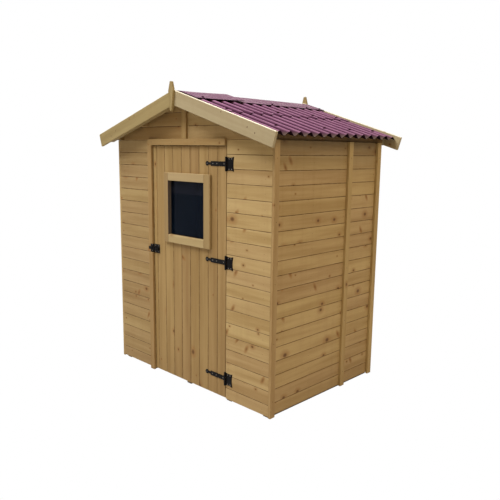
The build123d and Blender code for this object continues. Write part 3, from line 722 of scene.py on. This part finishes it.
# both skins stand half the thickness off the middle surface
def thicken(bm, thickness):
    bmesh.ops.recalc_face_normals(bm, faces=bm.faces)
    if sum(face.normal.z for face in bm.faces) < 0:
        bmesh.ops.reverse_faces(bm, faces=bm.faces)
    bm.normal_update()
    normals = {vert: vert.normal.copy() for vert in bm.verts}
    for vert, normal in normals.items():
        vert.co += normal * thickness / 2
    bmesh.ops.solidify(bm, geom=bm.faces, thickness=thickness)
    under = bm.faces.layers.float.new("under")
    bmesh.ops.recalc_face_normals(bm, faces=bm.faces)
    for face in bm.faces:
        face[under] = 1.0 if face.normal.z < -0.1 else 0.0


lowerLift = roof["seatGap"] + roof["half"]
courses = {"upper": (lowerLift + roof["nest"], roof["lapLift"], 0.0), "lower": (lowerLift, 0.0, 1.0)}
for course, (lift, lapLift, dusty) in courses.items():
    for side in ("right", "left"):
        node = f"roof_{side}_{course}"
        sheet = corrugated("roof_right_" + course, lift, lapLift, dusty)
        thicken(sheet, roof["thick"])
        if side == "left":
            bmesh.ops.scale(sheet, vec=(-1, 1, 1), verts=sheet.verts)
        finishPiece(sheet, node + "_sheet", sheetBitumen, "shed", slotOf[node], [node], roof["smooth"])
print("roof sheets laid")

ridge = {"radius": 0.2515, "wingSteps": 6, "archSteps": 14, "runs": 16, "flare": 0.009, "fadeAndHighlight": 0.5,
         "fadeFall": 2.4, "fadeAt": 0.22}
ridge["bend"] = ridge["radius"] * math.sin(roof["slope"])  # where the round top meets the straight wings


def capDrop(x):
    drop = ridge["radius"] - math.sqrt(ridge["radius"] ** 2 - min(abs(x), ridge["bend"]) ** 2)
    return drop + max(0.0, abs(x) - ridge["bend"]) * math.tan(roof["slope"])


def ridgeCap(node, flare):
    low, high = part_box(node)
    reach = high.x - roof["thick"] / 2 * outOfSlope.x
    bm = bmesh.new()
    segments = 2 * ridge["wingSteps"] + ridge["archSteps"]
    bmesh.ops.create_grid(bm, x_segments=segments, y_segments=ridge["runs"], size=0.5)
    crest = bm.verts.layers.float.new("crest")
    for vert in bm.verts:
        x, along = vert.co.x * 2 * reach, vert.co.y + 0.5
        y = low.y + along * (high.y - low.y)
        vert[crest] = ridge["fadeAndHighlight"] - ridge["fadeFall"] * abs(abs(vert.co.x) - ridge["fadeAt"])
        vert.co = (x, y, high.z - roof["thick"] / 2 - capDrop(x) + flare * along ** 2)
    return bm


for node, flare in (("ridge_cap_rear", 0.0), ("ridge_cap_front", ridge["flare"])):
    cap = ridgeCap(node, flare)
    thicken(cap, roof["thick"])
    finishPiece(cap, node + "_sheet", capBitumen, "shed", slotOf[node], [node], roof["smooth"])
print("ridge caps laid")


# Nails and screws: low domes, turned from a short profile
domeShape = {"profile": ((0.0, 1.0), (0.55, 0.86), (0.9, 0.4), (1.0, -0.3)), "steps": 10}


def addDome(bm, place, outward, radius, height):
    dome = bmesh.new()
    profile = domeShape["profile"]
    verts = [dome.verts.new((share * radius, 0, level * height)) for share, level in profile]
    edges = [dome.edges.new(pair) for pair in zip(verts, verts[1:])]
    bmesh.ops.spin(dome, geom=verts + edges, cent=(0, 0, 0), axis=(0, 0, 1), angle=math.tau,
                   steps=domeShape["steps"], use_merge=True)
    bmesh.ops.remove_doubles(dome, verts=dome.verts, dist=1e-7)
    bmesh.ops.holes_fill(dome, edges=[edge for edge in dome.edges if edge.is_boundary])
    bmesh.ops.recalc_face_normals(dome, faces=dome.faces)
    turn = axisZ.rotation_difference(outward).to_matrix().to_4x4()
    bmesh.ops.transform(dome, matrix=Matrix.Translation(place) @ turn, verts=dome.verts)
    addTo(bm, dome)


# each course is nailed to one purlin, on the waves that are counted from the front
sheetNails = {"radius": 0.011, "height": 0.008, "upper": ("mid_purlins", (0, 5, 9, 12)),
              "lower": ("eave_purlins", (1, 6, 9, 12)), "purlinHalf": 0.0225}
capNails = {"radius": 0.010, "height": 0.008, "x": 0.205, "y": (-0.597, -0.294, 0.065, 0.460, 0.62)}
nails = bmesh.new()
sheetLow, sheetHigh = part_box("roof_right_upper")
wavePitch = (sheetHigh.y - sheetLow.y) / roof["waves"]
for side in (1, -1):
    outward = Vector((side * outOfSlope.x, 0, outOfSlope.z))
    for course in courses:
        purlin, waves = sheetNails[course]
        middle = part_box(purlin)[1].x - sheetNails["purlinHalf"]
        for wave in waves:
            y = sheetLow.y + wavePitch * (wave + 0.5)
            top = onSlope(middle, y, courses[course][0] + roof["half"])
            place = Vector((side * top.x, top.y, top.z))
            addDome(nails, place, outward, sheetNails["radius"], sheetNails["height"])
    for y in capNails["y"]:
        node = "ridge_cap_front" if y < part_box("ridge_cap_front")[1].y else "ridge_cap_rear"
        place = Vector((side * capNails["x"], y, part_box(node)[1].z - capDrop(capNails["x"])))
        addDome(nails, place, outward, capNails["radius"], capNails["height"])
finishPiece(nails, "roof_nails", nailBitumen, "shed", "roof_sheet", smooth=softDome)
print("roof nailed")

# Nails of the boards, strips and barge boards
boardNails = {"radius": 0.0018, "height": 0.0005, "rows": 19, "stray": 0.006,
              "front": (-0.745, -0.44, 0.435, 0.745), "back": (-0.745, -0.045, 0.045, 0.745),
              "side": (-0.512, -0.178, 0.160, 0.240, 0.512)}
stripNails = {"radius": 0.003, "height": 0.0008, "levels": (0.12, 0.5, 0.88, 1.26, 1.64),
              "y": (-0.5505, 0.2, 0.5505), "head": (0.06, 0.35, 0.65, 0.94)}
bargeNails = {"radius": 0.0042, "height": 0.001, "spots": ((0.46, 0.030), (0.70, 0.004), (0.755, -0.012)),
              "boardHalf": 0.0475, "strayX": 0.015, "strayZ": 0.006}
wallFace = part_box("front_wall_left")[0].y
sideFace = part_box("right_wall_front")[1].x
woodNails = bmesh.new()
for step in range(boardNails["rows"]):
    level = wallTop - wallBoards["pitch"] * (step + 0.5)
    spots = [(Vector((x, wallFace, level)), -axisY) for x in boardNails["front"]]
    spots += [(Vector((x, -wallFace, level)), axisY) for x in boardNails["back"]]
    for side in (1, -1):
        spots += [(Vector((side * sideFace, y, level)), axisX * side) for y in boardNails["side"]]
    for place, outward in spots:
        stray = axisZ * dice.uniform(-boardNails["stray"], boardNails["stray"])
        addDome(woodNails, place + stray, outward, boardNails["radius"], boardNails["height"])
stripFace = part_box("corner_strips")[1].x
headLow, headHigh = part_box("door_head_strip")
spots = [(Vector((0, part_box("joint_strips")[1].y, level)), axisY) for level in stripNails["levels"]]
for side in (1, -1):
    for level in stripNails["levels"]:
        spots += [(Vector((side * stripFace, y, level)), axisX * side) for y in stripNails["y"]]
for share in stripNails["head"]:
    place = Vector((headLow.x + share * (headHigh.x - headLow.x), headLow.y, (headLow.z + headHigh.z) / 2))
    spots.append((place, -axisY))
for place, outward in spots:
    addDome(woodNails, place, outward, stripNails["radius"], stripNails["height"])
bargeLow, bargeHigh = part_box("front_barge_right")
bargeMiddle = bargeHigh.z - bargeNails["boardHalf"] / math.cos(roof["slope"])
for side in (1, -1):
    for outward in (axisY, -axisY):
        for x, rise in bargeNails["spots"]:
            x += dice.uniform(-bargeNails["strayX"], bargeNails["strayX"])
            stray = dice.uniform(-bargeNails["strayZ"], bargeNails["strayZ"])
            z = bargeMiddle - x * math.tan(roof["slope"]) + rise + stray
            place = Vector((side * x, -outward.y * bargeLow.y, z))
            addDome(woodNails, place, outward, bargeNails["radius"], bargeNails["height"])
finishPiece(woodNails, "wood_nails", nailIron, "shed", "ironwork", smooth=softDome)
print("boards nailed")

# Ironwork with its edges rounded, and its screws
ironNodes = {"hinge_plates": 0.0007, "hinge_straps": 0.0007, "bolt_keep": 0.0009, "bolt_plate": 0.0009,
             "bolt_rod": 0.0008}
for node, width in ironNodes.items():
    iron = nodeCopy(node)
    roundEdges(iron, width, 2)
    finishPiece(iron, node + "_iron", blackIron, bodyOf(node), slotOf[node], [node], softIron)

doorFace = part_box("door_boards")[0].y
hinge = {"pin": 0.4075, "levels": (0.162, 0.958, 1.596), "thick": 0.003, "screw": 0.0042, "dome": 0.0016,
         "strapX": (-0.185, -0.128, -0.09, -0.022), "plateX": (0.024, 0.048), "plateZ": (-0.033, 0.033)}
doorScrews, wallScrews = bmesh.new(), bmesh.new()
for level in hinge["levels"]:
    for offset in hinge["strapX"]:
        place = Vector((hinge["pin"] + offset, doorFace - hinge["thick"], level))
        addDome(doorScrews, place, -axisY, hinge["screw"], hinge["dome"])
    for offset in hinge["plateX"]:
        for rise in hinge["plateZ"]:
            place = Vector((hinge["pin"] + offset, doorFace - hinge["thick"], level + rise))
            addDome(wallScrews, place, -axisY, hinge["screw"], hinge["dome"])
boltScrews = {"fromEnd": 0.012, "fromEdge": 0.010, "keepFromEnd": 0.02}
boltLow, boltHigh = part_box("bolt_plate")
keepLow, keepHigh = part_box("bolt_keep")
for x in (boltLow.x + boltScrews["fromEnd"], boltHigh.x - boltScrews["fromEnd"]):
    for z in (boltLow.z + boltScrews["fromEdge"], boltHigh.z - boltScrews["fromEdge"]):
        place = Vector((x, doorFace - hinge["thick"], z))
        addDome(doorScrews, place, -axisY, hinge["screw"], hinge["dome"])
for z in (keepLow.z + boltScrews["fromEdge"], keepHigh.z - boltScrews["fromEdge"]):
    place = Vector((keepHigh.x - boltScrews["keepFromEnd"], doorFace - hinge["thick"], z))
    addDome(wallScrews, place, -axisY, hinge["screw"], hinge["dome"])
finishPiece(doorScrews, "door_screws", screwGlintIron, "door", "ironwork", smooth=softDome)
finishPiece(wallScrews, "wall_screws", screwGlintIron, "shed", "ironwork", smooth=softDome)
print("ironwork fitted")

pane = nodeCopy("window_pane")
roundEdges(pane, glassLook["edge"], 2)
finishPiece(pane, "window_pane_glass", clearPane, "door", slotOf["window_pane"], ["window_pane"])


# Pale floor, soft light and the camera
def whiteFor(tree):
    rays = addNode(tree, "ShaderNodeLightPath").outputs
    seen = calc(tree, "MAXIMUM", rays["Is Camera Ray"], rays["Is Glossy Ray"])
    return calc(tree, "MAXIMUM", seen, rays["Is Transmission Ray"])


studio = {"floorSize": 60.0, "floorPaint": (196, 194, 190), "floorRough": 0.9, "skyLevel": 0.29,
          "skyColour": (255, 226, 180)}
lamps = {
    "keyLamp": {"place": (-0.4, -3.8, 7.5), "aim": (0.1, -0.5, 1.0), "size": 4.6, "power": 610,
                "colour": (250, 252, 255)},
    "sideLamp": {"place": (6.0, -0.6, 6.4), "aim": (0.8, 0, 1.0), "size": 4.0, "power": 180,
                 "colour": (255, 234, 204)},
    "backLamp": {"place": (-4.5, 5.0, 4.5), "aim": (0, 0, 1.0), "size": 4.0, "power": 360,
                 "colour": (255, 246, 232)},
    "topLamp": {"place": (0, 0, 8.0), "aim": (0, 0, 0), "size": 6.0, "power": 40, "colour": (250, 252, 255)},
}
ground = bmesh.new()
bmesh.ops.create_grid(ground, x_segments=1, y_segments=1, size=studio["floorSize"] / 2)
floorMesh = bpy.data.meshes.new("studio_floor")
ground.to_mesh(floorMesh)
ground.free()
studioFloor = bpy.data.objects.new("studio_floor", floorMesh)
bpy.context.scene.collection.objects.link(studioFloor)
floorPaint, tree, shader, place = startMaterial("studioFloor")
shader.inputs["Base Color"].default_value = paint(*studio["floorPaint"])
shader.inputs["Roughness"].default_value = studio["floorRough"]
glow = addNode(tree, "ShaderNodeEmission", {"Color": (1, 1, 1, 1), "Strength": 1.0})
mixed = addNode(tree, "ShaderNodeMixShader", {0: whiteFor(tree), 1: shader.outputs[0], 2: glow.outputs[0]})
tree.links.new(mixed.outputs[0], tree.nodes["Material Output"].inputs["Surface"])
floorMesh.materials.append(floorPaint)

world = bpy.data.worlds.new("studioSky")
bpy.context.scene.world = world
world.use_nodes = True
tree = world.node_tree
plain = tree.nodes["Background"]
plain.inputs["Color"].default_value = paint(*studio["skyColour"])
plain.inputs["Strength"].default_value = studio["skyLevel"]
white = addNode(tree, "ShaderNodeBackground", {"Color": (1, 1, 1, 1), "Strength": 1.0})
mixed = addNode(tree, "ShaderNodeMixShader", {0: whiteFor(tree), 1: plain.outputs[0], 2: white.outputs[0]})
tree.links.new(mixed.outputs[0], tree.nodes["World Output"].inputs["Surface"])

for name, look in lamps.items():
    light = bpy.data.lights.new(name, "AREA")
    light.shape = "DISK"
    light.size = look["size"]
    light.energy = look["power"]
    light.color = paint(*look["colour"])[:3]
    lamp = bpy.data.objects.new(name, light)
    lamp.location = look["place"]
    lamp.rotation_euler = (Vector(look["aim"]) - lamp.location).to_track_quat("-Z", "Y").to_euler()
    bpy.context.scene.collection.objects.link(lamp)

view = {"place": (3.102, -3.1113, 1.6815), "yaw": -44.32, "pitch": -9.764, "roll": 0.749,
        "focalPixels": 577.525, "picturePixels": 500, "sensor": 36.0}
yaw, pitch, roll = (math.radians(view[turn]) for turn in ("yaw", "pitch", "roll"))
forward = Vector((math.sin(yaw) * math.cos(pitch), math.cos(yaw) * math.cos(pitch), math.sin(pitch)))
level = Vector((math.cos(yaw), -math.sin(yaw), 0))
upright = level.cross(forward)
right = level * math.cos(roll) + upright * math.sin(roll)
up = upright * math.cos(roll) - level * math.sin(roll)
cameraData = bpy.data.cameras.new("photoCamera")
cameraData.sensor_width = view["sensor"]
cameraData.lens = view["sensor"] * view["focalPixels"] / view["picturePixels"]
cameraObject = bpy.data.objects.new("photoCamera", cameraData)
turn = Matrix((right, up, -forward)).transposed().to_4x4()
cameraObject.matrix_world = Matrix.Translation(view["place"]) @ turn
bpy.context.scene.collection.objects.link(cameraObject)
bpy.context.scene.camera = cameraObject
bpy.context.scene.view_settings.view_transform = "Standard"
print("studio and camera set")
